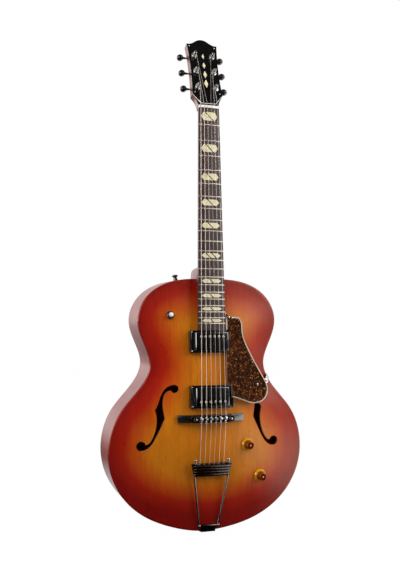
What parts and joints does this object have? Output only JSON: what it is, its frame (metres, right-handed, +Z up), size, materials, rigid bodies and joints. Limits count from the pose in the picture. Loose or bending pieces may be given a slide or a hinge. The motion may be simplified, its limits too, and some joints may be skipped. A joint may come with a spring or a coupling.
{
  "type": "archtop guitar",
  "caption": "Hollow-body archtop electric guitar with f-holes, twin-coil pickups, floating bridge, hinged tailpiece, pickguard and tuners on both sides of the head.",
  "frame": {"origin": "on the centreline at the tail end of the rim, halfway through its depth, where the end pin enters", "axes": "+Z up along the neck, +X to the treble side, the front faces -Y"},
  "size_m": [0.409, 0.1473, 1.0362],
  "materials": {
    "burst_top": "gloss sunburst stain, amber centre to deep red edge",
    "cherry_wood": "gloss red-brown stain",
    "neck_wood": "satin red-brown stain",
    "inner_wood": "raw",
    "rosewood": "oiled",
    "ebony": "polished",
    "black_face": "polished black veneer",
    "cream": "polished cream",
    "nickel": "polished",
    "black_metal": "gloss black plate",
    "smoked_chrome": "dark chrome",
    "black_plastic": "satin",
    "string_steel": "wound and plain steel",
    "amber": "clear amber over gold",
    "pot_metal": "plain",
    "tortoise": "mottled brown shell pattern",
    "rod_steel": "plain"
  },
  "bodies": {
    "guitar": {"top_plate": "burst_top", "back_plate": "cherry_wood", "bass_rib": "cherry_wood", "treble_rib": "cherry_wood", "neck_block": "inner_wood", "tail_block": "inner_wood", "kerfed_linings": "inner_wood", "tone_bars": "inner_wood", "neck": "neck_wood", "truss_rod": "rod_steel", "headplate": "black_face", "headplate_inlay": "cream", "fretboard": "rosewood", "frets": "nickel", "fret_inlays": "cream", "nut": "cream", "tuner_housings": "black_metal", "tuner_bushings": "nickel", "strings": "string_steel", "neck_pickup_ring": "black_plastic", "bridge_pickup_ring": "black_plastic", "neck_pickup_cover": "smoked_chrome", "bridge_pickup_cover": "smoked_chrome", "pickup_coils": "black_plastic", "pickup_poles": "nickel", "bridge_base": "ebony", "bridge_posts": "nickel", "tailpiece_rods": "black_metal", "tailpiece_bars": "black_metal", "tailpiece_hinge": "black_metal", "end_pin": "black_metal", "strap_button": "black_metal", "control_pots": "pot_metal", "switch_body": "black_plastic", "switch_nut": "nickel", "output_jack": "nickel", "pickguard": "tortoise", "pickguard_spacer": "inner_wood", "pickguard_bracket": "nickel", "trim_screws": "nickel"},
    "volume_knob_body": {"volume_knob": "amber"},
    "tone_knob_body": {"tone_knob": "amber"},
    "switch_lever_body": {"switch_lever": "cream"},
    "tuner_button_bass_1_body": {"tuner_button_bass_1": "black_metal"},
    "tuner_post_bass_1_body": {"tuner_post_bass_1": "nickel"},
    "tuner_button_bass_2_body": {"tuner_button_bass_2": "black_metal"},
    "tuner_post_bass_2_body": {"tuner_post_bass_2": "nickel"},
    "tuner_button_bass_3_body": {"tuner_button_bass_3": "black_metal"},
    "tuner_post_bass_3_body": {"tuner_post_bass_3": "nickel"},
    "tuner_button_treble_1_body": {"tuner_button_treble_1": "black_metal"},
    "tuner_post_treble_1_body": {"tuner_post_treble_1": "nickel"},
    "tuner_button_treble_2_body": {"tuner_button_treble_2": "black_metal"},
    "tuner_post_treble_2_body": {"tuner_post_treble_2": "nickel"},
    "tuner_button_treble_3_body": {"tuner_button_treble_3": "black_metal"},
    "tuner_post_treble_3_body": {"tuner_post_treble_3": "nickel"},
    "bridge_top": {"bridge_bar": "black_metal", "bridge_saddles": "nickel", "saddle_screws": "nickel"},
    "bass_thumbwheel_body": {"bass_thumbwheel": "black_metal"},
    "treble_thumbwheel_body": {"treble_thumbwheel": "black_metal"}
  },
  "joints": [
    {"name": "volume_turn", "type": "hinge", "parent": "guitar", "child": "volume_knob_body", "pos_m": [0.08, -0.05821, 0.1715], "axis": [0.0805, -0.9962, -0.0323], "range_deg": [-150, 150]},
    {"name": "tone_turn", "type": "hinge", "parent": "guitar", "child": "tone_knob_body", "pos_m": [0.1095, -0.0521, 0.1065], "axis": [0.0832, -0.9937, -0.0748], "range_deg": [-150, 150]},
    {"name": "switch_throw", "type": "hinge", "parent": "guitar", "child": "switch_lever_body", "pos_m": [-0.08103, -0.04425, 0.43403], "axis": [0.997, -0.0774, 0.003], "range_deg": [-13, 13]},
    {"name": "tuner_button_bass_1_turn", "type": "hinge", "parent": "guitar", "child": "tuner_button_bass_1_body", "pos_m": [-0.0195, -0.01205, 0.90775], "axis": [-1, 0, 0], "continuous": true},
    {"name": "tuner_post_bass_1_turn", "type": "hinge", "parent": "guitar", "child": "tuner_post_bass_1_body", "pos_m": [-0.0195, -0.03165, 0.90704], "axis": [0, -0.9411, 0.3382], "continuous": true},
    {"name": "tuner_button_bass_2_turn", "type": "hinge", "parent": "guitar", "child": "tuner_button_bass_2_body", "pos_m": [-0.0195, 0.00141, 0.94521], "axis": [-1, 0, 0], "continuous": true},
    {"name": "tuner_post_bass_2_turn", "type": "hinge", "parent": "guitar", "child": "tuner_post_bass_2_body", "pos_m": [-0.0195, -0.01818, 0.94449], "axis": [0, -0.9411, 0.3382], "continuous": true},
    {"name": "tuner_button_bass_3_turn", "type": "hinge", "parent": "guitar", "child": "tuner_button_bass_3_body", "pos_m": [-0.0195, 0.01487, 0.98266], "axis": [-1, 0, 0], "continuous": true},
    {"name": "tuner_post_bass_3_turn", "type": "hinge", "parent": "guitar", "child": "tuner_post_bass_3_body", "pos_m": [-0.0195, -0.00472, 0.98195], "axis": [0, -0.9411, 0.3382], "continuous": true},
    {"name": "tuner_button_treble_1_turn", "type": "hinge", "parent": "guitar", "child": "tuner_button_treble_1_body", "pos_m": [0.0195, -0.01205, 0.90775], "axis": [1, 0, 0], "continuous": true},
    {"name": "tuner_post_treble_1_turn", "type": "hinge", "parent": "guitar", "child": "tuner_post_treble_1_body", "pos_m": [0.0195, -0.03165, 0.90704], "axis": [0, -0.9411, 0.3382], "continuous": true},
    {"name": "tuner_button_treble_2_turn", "type": "hinge", "parent": "guitar", "child": "tuner_button_treble_2_body", "pos_m": [0.0195, 0.00141, 0.94521], "axis": [1, 0, 0], "continuous": true},
    {"name": "tuner_post_treble_2_turn", "type": "hinge", "parent": "guitar", "child": "tuner_post_treble_2_body", "pos_m": [0.0195, -0.01818, 0.94449], "axis": [0, -0.9411, 0.3382], "continuous": true},
    {"name": "tuner_button_treble_3_turn", "type": "hinge", "parent": "guitar", "child": "tuner_button_treble_3_body", "pos_m": [0.0195, 0.01487, 0.98266], "axis": [1, 0, 0], "continuous": true},
    {"name": "tuner_post_treble_3_turn", "type": "hinge", "parent": "guitar", "child": "tuner_post_treble_3_body", "pos_m": [0.0195, -0.00472, 0.98195], "axis": [0, -0.9411, 0.3382], "continuous": true},
    {"name": "bridge_height", "type": "slide", "parent": "guitar", "child": "bridge_top", "axis": [0, -1, 0], "range_m": [-0.00098, 0.0035], "deforming": ["strings"]},
    {"name": "bass_thumbwheel_turn", "type": "hinge", "parent": "bridge_top", "child": "bass_thumbwheel_body", "pos_m": [-0.037, -0.075, 0.22847], "axis": [0, -1, 0], "range_deg": [-504, 1800], "deforming": ["strings"]},
    {"name": "treble_thumbwheel_turn", "type": "hinge", "parent": "bridge_top", "child": "treble_thumbwheel_body", "pos_m": [0.037, -0.075, 0.22847], "axis": [0, -1, 0], "range_deg": [-504, 1800], "deforming": ["strings"]}
  ],
  "couplings": [
    {"joint": "tuner_post_bass_1_turn", "follows": "tuner_button_bass_1_turn", "ratio": 0.071429},
    {"joint": "tuner_post_bass_2_turn", "follows": "tuner_button_bass_2_turn", "ratio": 0.071429},
    {"joint": "tuner_post_bass_3_turn", "follows": "tuner_button_bass_3_turn", "ratio": 0.071429},
    {"joint": "tuner_post_treble_1_turn", "follows": "tuner_button_treble_1_turn", "ratio": -0.071429},
    {"joint": "tuner_post_treble_2_turn", "follows": "tuner_button_treble_2_turn", "ratio": -0.071429},
    {"joint": "tuner_post_treble_3_turn", "follows": "tuner_button_treble_3_turn", "ratio": -0.071429},
    {"joint": "bass_thumbwheel_turn", "follows": "bridge_height", "rad_per_m": 8976},
    {"joint": "treble_thumbwheel_turn", "follows": "bridge_height", "rad_per_m": 8976}
  ]
}
